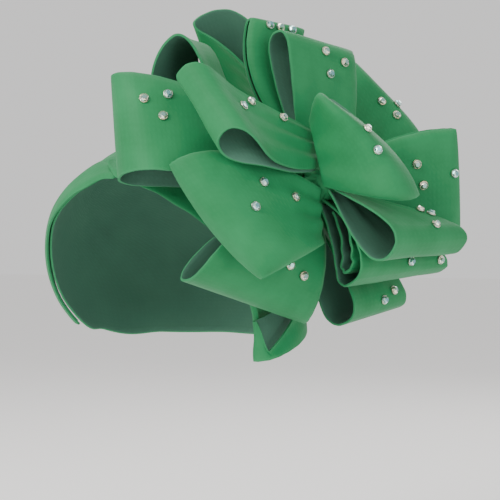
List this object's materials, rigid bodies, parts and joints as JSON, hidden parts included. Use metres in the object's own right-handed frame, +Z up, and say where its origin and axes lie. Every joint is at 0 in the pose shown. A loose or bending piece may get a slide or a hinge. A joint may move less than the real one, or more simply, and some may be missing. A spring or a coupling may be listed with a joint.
{
  "type": "tied gele head tie",
  "caption": "Ready-tied head wrap: a close turban crown with crossed brow wraps, carrying a large rosette bow of looped ribbon set with faceted studs.",
  "frame": {"origin": "middle of the head that wears it, at brow height", "axes": "+Z up, -Y out of the face, +X towards the wearer's left, where the bow is"},
  "size_m": [0.2788, 0.2087, 0.2369],
  "materials": {
    "cloth": "smooth, thick, soft-sheen green stretch cloth with raw cut edges",
    "stone": "silver-backed faceted stone"
  },
  "bodies": {
    "root": {"crown": "cloth", "wrap_left": "cloth", "wrap_right": "cloth", "knot": "cloth", "nape_tail": "cloth", "loop_brow": "cloth", "loop_round": "cloth", "loop_roll": "cloth", "loop_fan": "cloth", "loop_cheek": "cloth", "loop_cone": "cloth", "loop_peak": "cloth", "loop_crest": "cloth", "loop_back": "cloth", "loop_middle": "cloth", "loop_flat": "cloth", "loop_curl": "cloth", "loop_fold": "cloth", "loop_low": "cloth", "stud_brow_1": "stone", "stud_brow_2": "stone", "stud_brow_3": "stone", "stud_roll_1": "stone", "stud_roll_2": "stone", "stud_roll_3": "stone", "stud_fan_1": "stone", "stud_fan_2": "stone", "stud_fan_3": "stone", "stud_cheek_1": "stone", "stud_cheek_2": "stone", "stud_peak_1": "stone", "stud_peak_2": "stone", "stud_peak_3": "stone", "stud_crest_1": "stone", "stud_crest_2": "stone", "stud_crest_3": "stone", "stud_back_1": "stone", "stud_back_2": "stone", "stud_back_3": "stone", "stud_middle_1": "stone", "stud_middle_2": "stone", "stud_flat_1": "stone", "stud_flat_2": "stone", "stud_flat_3": "stone", "stud_curl_1": "stone", "stud_curl_2": "stone", "stud_curl_3": "stone", "stud_fold_1": "stone", "stud_fold_2": "stone", "stud_low_1": "stone", "stud_low_2": "stone"}
  },
  "joints": []
}
